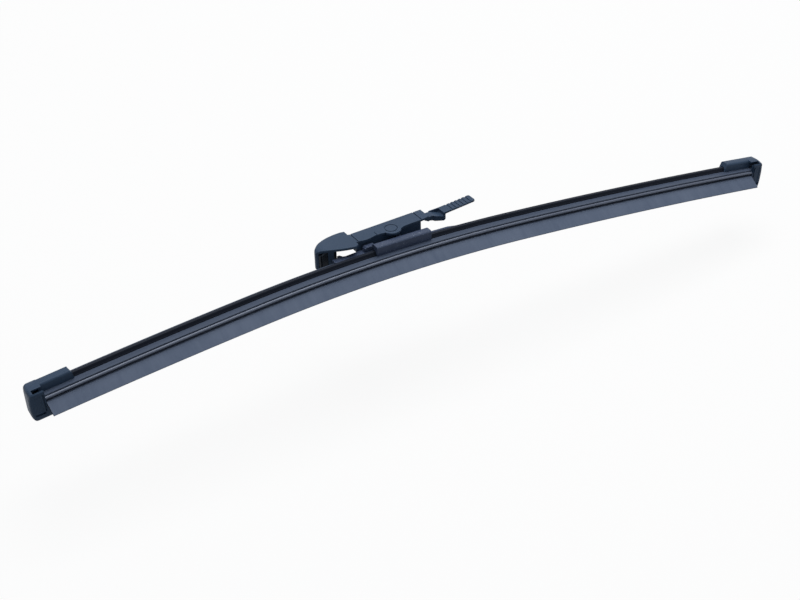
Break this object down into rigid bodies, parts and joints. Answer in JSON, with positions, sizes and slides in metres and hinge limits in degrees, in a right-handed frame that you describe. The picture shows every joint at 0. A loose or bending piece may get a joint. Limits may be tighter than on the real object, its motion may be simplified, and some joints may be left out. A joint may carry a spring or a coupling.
{
  "type": "rear wiper blade",
  "caption": "Flat rear wiper blade with a curved spring-backed rubber, end caps, a saddle and a rocking arm adapter with hood and release tongue.",
  "frame": {"origin": "on the adapter deck, straight above the pivot pin, halfway across the deck", "axes": "+X along the blade towards the release tongue, +Y away from the side the rubber lip is folded to, +Z out of the deck, away from the glass"},
  "size_m": [0.339, 0.0249, 0.0377],
  "materials": {
    "blade_rubber": "matte",
    "spring_steel": "satin",
    "black_plastic": "satin",
    "coated_metal": "textured coat",
    "pin_steel": "plain"
  },
  "bodies": {
    "adapter": {"arm_adapter": "black_plastic"},
    "blade": {"wiping_rubber": "blade_rubber", "near_spring_rail": "spring_steel", "far_spring_rail": "spring_steel", "left_end_cap": "black_plastic", "right_end_cap": "black_plastic", "saddle": "coated_metal", "pivot_pin": "pin_steel"}
  },
  "joints": [
    {"name": "blade_rock", "type": "hinge", "parent": "adapter", "child": "blade", "pos_m": [0, 0, -0.0034], "axis": [0, 1, 0], "range_deg": [-6, 6]}
  ]
}
